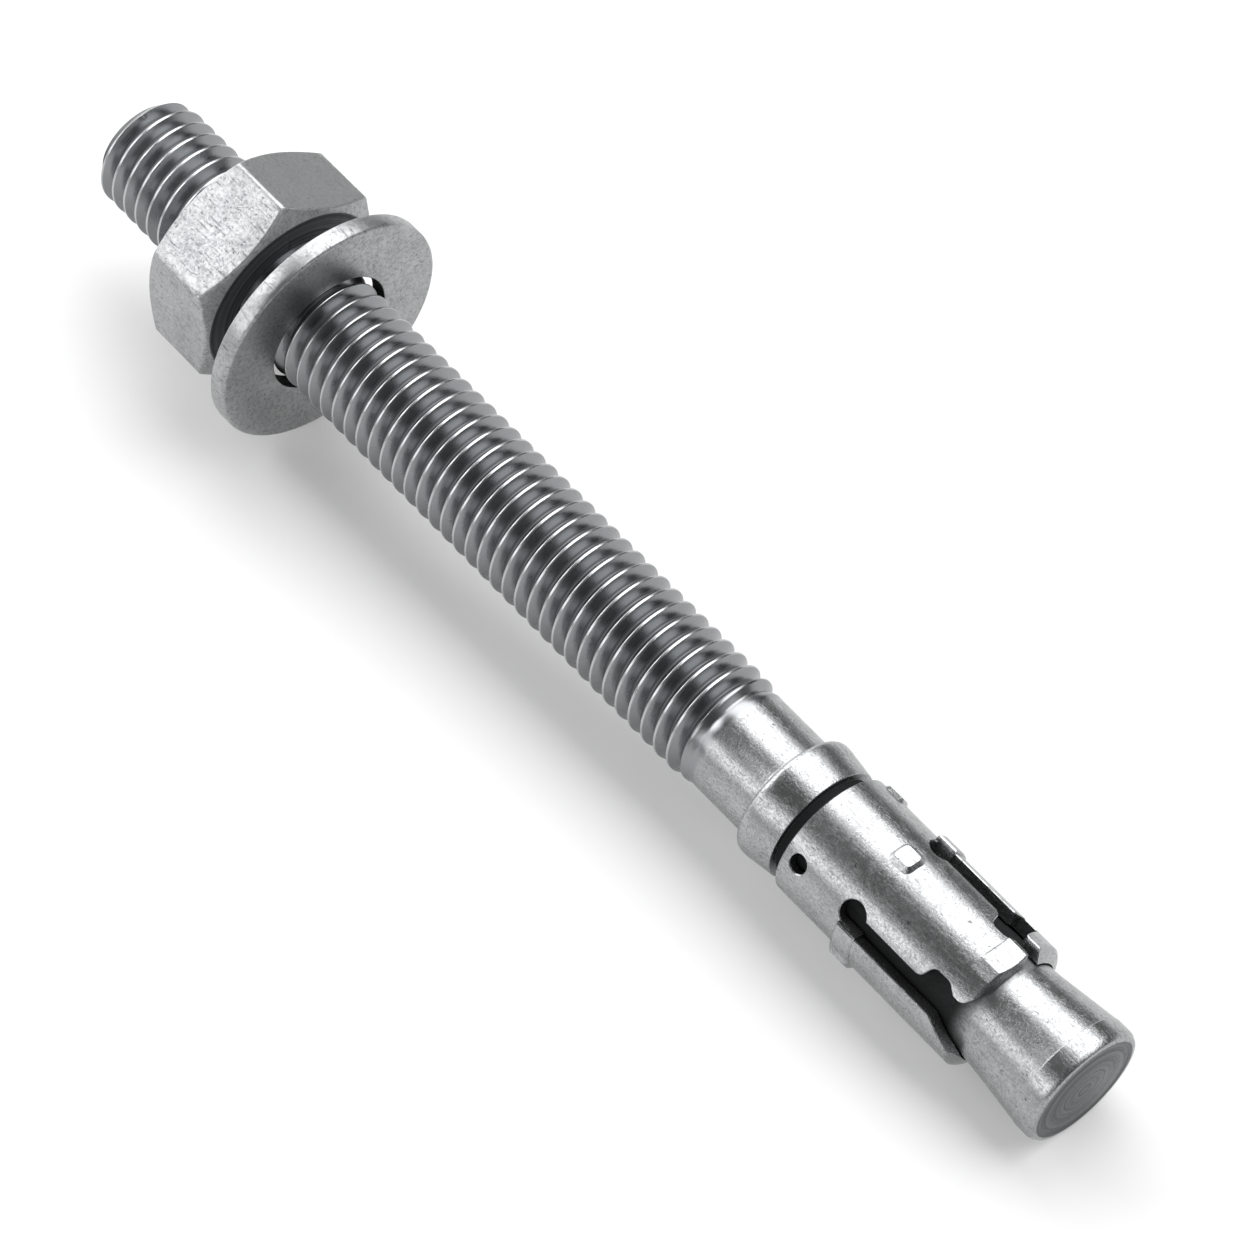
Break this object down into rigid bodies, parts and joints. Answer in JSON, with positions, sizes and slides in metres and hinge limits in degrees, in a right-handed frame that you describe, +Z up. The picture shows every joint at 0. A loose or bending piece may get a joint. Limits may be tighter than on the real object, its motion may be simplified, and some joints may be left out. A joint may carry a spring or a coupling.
{
  "type": "wedge anchor",
  "caption": "Zinc-plated steel wedge anchor for concrete: threaded stud with a collar and expansion cone, slotted expansion clip, flat washer and hexagon nut.",
  "frame": {"origin": "on the ground under the middle of the lying anchor", "axes": "+X along the anchor toward the expansion cone, +Z up, +Y across; the anchor lies on its washer and its cone, so its axis falls slightly toward +X"},
  "size_m": [0.113, 0.0216, 0.0215],
  "materials": {
    "zinc_bolt": "zinc plated, satin",
    "zinc_clip": "zinc plated sheet, satin",
    "zinc_washer": "zinc plated, satin",
    "zinc_nut": "zinc plated, satin"
  },
  "bodies": {
    "stud": {"anchor_bolt": "zinc_bolt"},
    "clip": {"expansion_clip": "zinc_clip"},
    "washer": {"washer": "zinc_washer"},
    "nut": {"hex_nut": "zinc_nut"}
  },
  "joints": [
    {"name": "nut_travel", "type": "slide", "parent": "stud", "child": "washer", "axis": [0.9981, 0, -0.0614], "range_m": [-0.0121, 0.0512]},
    {"name": "nut_turn", "type": "hinge", "parent": "washer", "child": "nut", "pos_m": [-0.0405, 0, 0.01126], "axis": [0.9981, 0, -0.0614], "range_deg": [-2880, 12240]},
    {"name": "clip_turn", "type": "hinge", "parent": "stud", "child": "clip", "pos_m": [0.02837, 0, 0.00702], "axis": [0.9981, 0, -0.0614], "continuous": true}
  ],
  "couplings": [
    {"joint": "nut_travel", "follows": "nut_turn", "m_per_rad": 0.00023873}
  ]
}
